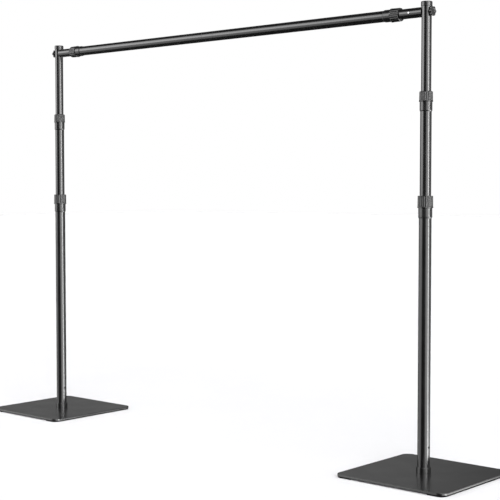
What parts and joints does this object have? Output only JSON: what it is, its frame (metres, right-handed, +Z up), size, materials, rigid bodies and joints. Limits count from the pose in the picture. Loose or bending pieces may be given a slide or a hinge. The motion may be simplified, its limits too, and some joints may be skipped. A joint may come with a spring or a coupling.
{
  "type": "background support stand",
  "caption": "Free-standing support for a hanging backdrop: telescoping uprights with twist locks on square base plates, joined by a telescoping crossbar clamped with star knobs.",
  "frame": {"origin": "on the floor midway between the two uprights", "axes": "+X along the crossbar from the left upright to the right one, +Y to the rear, +Z up"},
  "size_m": [1.915, 0.355, 1.315],
  "materials": {
    "powder_coat": "satin black powder coat over steel tube",
    "plate_coat": "satin black powder coat over steel plate",
    "rubber": "matt black rubber strip",
    "lock_plastic": "black moulded nylon",
    "collet_plastic": "grey acetal",
    "cap_plastic": "smooth black moulded plastic",
    "plug_plastic": "black moulded plastic",
    "black_screw": "black-oxide steel screw",
    "bright_screw": "bright zinc-plated steel"
  },
  "bodies": {
    "left_base": {"left_base_plate": "plate_coat", "left_base_pads": "rubber", "left_base_bolt": "bright_screw", "left_foot_ferrule": "powder_coat", "left_foot_screw": "black_screw", "left_lower_tube": "powder_coat", "left_lower_collar": "cap_plastic", "left_lower_collet": "collet_plastic"},
    "left_lower_lock_ring": {"left_lower_nut": "lock_plastic"},
    "left_mid_stage": {"left_mid_bushing": "collet_plastic", "left_mid_tube": "powder_coat", "left_upper_collar": "cap_plastic", "left_upper_collet": "collet_plastic"},
    "left_upper_lock_ring": {"left_upper_nut": "lock_plastic"},
    "left_top_stage": {"left_top_bushing": "collet_plastic", "left_top_tube": "powder_coat", "left_top_cap": "cap_plastic", "left_bar_plug": "plug_plastic", "left_bar_screw": "bright_screw", "left_bar_inner_tube": "powder_coat", "left_bar_bushing": "collet_plastic"},
    "left_bar_lock_ring": {"left_bar_nut": "lock_plastic"},
    "left_washer": {"left_knob_washer": "bright_screw"},
    "left_knob_and_stud": {"left_knob": "lock_plastic", "left_knob_stud": "bright_screw"},
    "right_base": {"right_base_plate": "plate_coat", "right_base_pads": "rubber", "right_base_bolt": "bright_screw", "right_foot_ferrule": "powder_coat", "right_foot_screw": "black_screw", "right_lower_tube": "powder_coat", "right_lower_collar": "cap_plastic", "right_lower_collet": "collet_plastic"},
    "right_lower_lock_ring": {"right_lower_nut": "lock_plastic"},
    "right_mid_stage": {"right_mid_bushing": "collet_plastic", "right_mid_tube": "powder_coat", "right_upper_collar": "cap_plastic", "right_upper_collet": "collet_plastic"},
    "right_upper_lock_ring": {"right_upper_nut": "lock_plastic"},
    "right_top_stage": {"right_top_bushing": "collet_plastic", "right_top_tube": "powder_coat", "right_top_cap": "cap_plastic", "right_bar_plug": "plug_plastic", "right_bar_screw": "bright_screw", "right_bar_inner_tube": "powder_coat", "right_bar_bushing": "collet_plastic"},
    "right_bar_lock_ring": {"right_bar_nut": "lock_plastic"},
    "right_washer": {"right_knob_washer": "bright_screw"},
    "right_knob_and_stud": {"right_knob": "lock_plastic", "right_knob_stud": "bright_screw"},
    "bar_centre": {"left_bar_outer_tube": "powder_coat", "left_bar_collar": "cap_plastic", "left_bar_collet": "collet_plastic", "right_bar_outer_tube": "powder_coat", "right_bar_collar": "cap_plastic", "right_bar_collet": "collet_plastic", "bar_coupling": "powder_coat"}
  },
  "joints": [
    {"name": "left_lower_slide", "type": "slide", "parent": "left_base", "child": "left_mid_stage", "axis": [0, 0, 1], "range_m": [-0.225, 0.3]},
    {"name": "left_upper_slide", "type": "slide", "parent": "left_mid_stage", "child": "left_top_stage", "axis": [0, 0, 1], "range_m": [-0.19, 0.35]},
    {"name": "left_bar_slide", "type": "slide", "parent": "left_top_stage", "child": "bar_centre", "axis": [1, 0, 0], "range_m": [-0.01, 0.4]},
    {"name": "right_bar_slide", "type": "slide", "parent": "bar_centre", "child": "right_top_stage", "axis": [1, 0, 0], "range_m": [-0.018, 0.39]},
    {"name": "right_upper_slide", "type": "slide", "parent": "right_top_stage", "child": "right_mid_stage", "axis": [0, 0, -1], "range_m": [-0.19, 0.35]},
    {"name": "right_lower_slide", "type": "slide", "parent": "right_mid_stage", "child": "right_base", "axis": [0, 0, -1], "range_m": [-0.225, 0.3]},
    {"name": "left_lower_lock_turn", "type": "hinge", "parent": "left_base", "child": "left_lower_lock_ring", "pos_m": [-0.78, 0, 0.765], "axis": [0, 0, 1], "range_deg": [0, 180]},
    {"name": "left_upper_lock_turn", "type": "hinge", "parent": "left_mid_stage", "child": "left_upper_lock_ring", "pos_m": [-0.78, 0, 1.055], "axis": [0, 0, 1], "range_deg": [0, 180]},
    {"name": "left_bar_lock_turn", "type": "hinge", "parent": "bar_centre", "child": "left_bar_lock_ring", "pos_m": [-0.6905, 0, 1.287], "axis": [-1, 0, 0], "range_deg": [0, 180]},
    {"name": "left_knob_feed", "type": "slide", "parent": "left_top_stage", "child": "left_washer", "axis": [-1, 0, 0], "range_m": [0, 0.002]},
    {"name": "left_knob_turn", "type": "hinge", "parent": "left_washer", "child": "left_knob_and_stud", "pos_m": [-0.799, 0, 1.287], "axis": [-1, 0, 0], "range_deg": [0, 720]},
    {"name": "right_lower_lock_turn", "type": "hinge", "parent": "right_base", "child": "right_lower_lock_ring", "pos_m": [0.78, 0, 0.765], "axis": [0, 0, 1], "range_deg": [0, 180]},
    {"name": "right_upper_lock_turn", "type": "hinge", "parent": "right_mid_stage", "child": "right_upper_lock_ring", "pos_m": [0.78, 0, 1.055], "axis": [0, 0, 1], "range_deg": [0, 180]},
    {"name": "right_bar_lock_turn", "type": "hinge", "parent": "bar_centre", "child": "right_bar_lock_ring", "pos_m": [0.68, 0, 1.287], "axis": [1, 0, 0], "range_deg": [0, 180]},
    {"name": "right_knob_feed", "type": "slide", "parent": "right_top_stage", "child": "right_washer", "axis": [1, 0, 0], "range_m": [0, 0.002]},
    {"name": "right_knob_turn", "type": "hinge", "parent": "right_washer", "child": "right_knob_and_stud", "pos_m": [0.799, 0, 1.287], "axis": [1, 0, 0], "range_deg": [0, 720]}
  ],
  "couplings": [
    {"joint": "right_upper_slide", "follows": "left_upper_slide", "ratio": 1},
    {"joint": "right_lower_slide", "follows": "left_lower_slide", "ratio": 1},
    {"joint": "left_knob_feed", "follows": "left_knob_turn", "m_per_rad": 0.00015915},
    {"joint": "right_knob_feed", "follows": "right_knob_turn", "m_per_rad": 0.00015915}
  ]
}
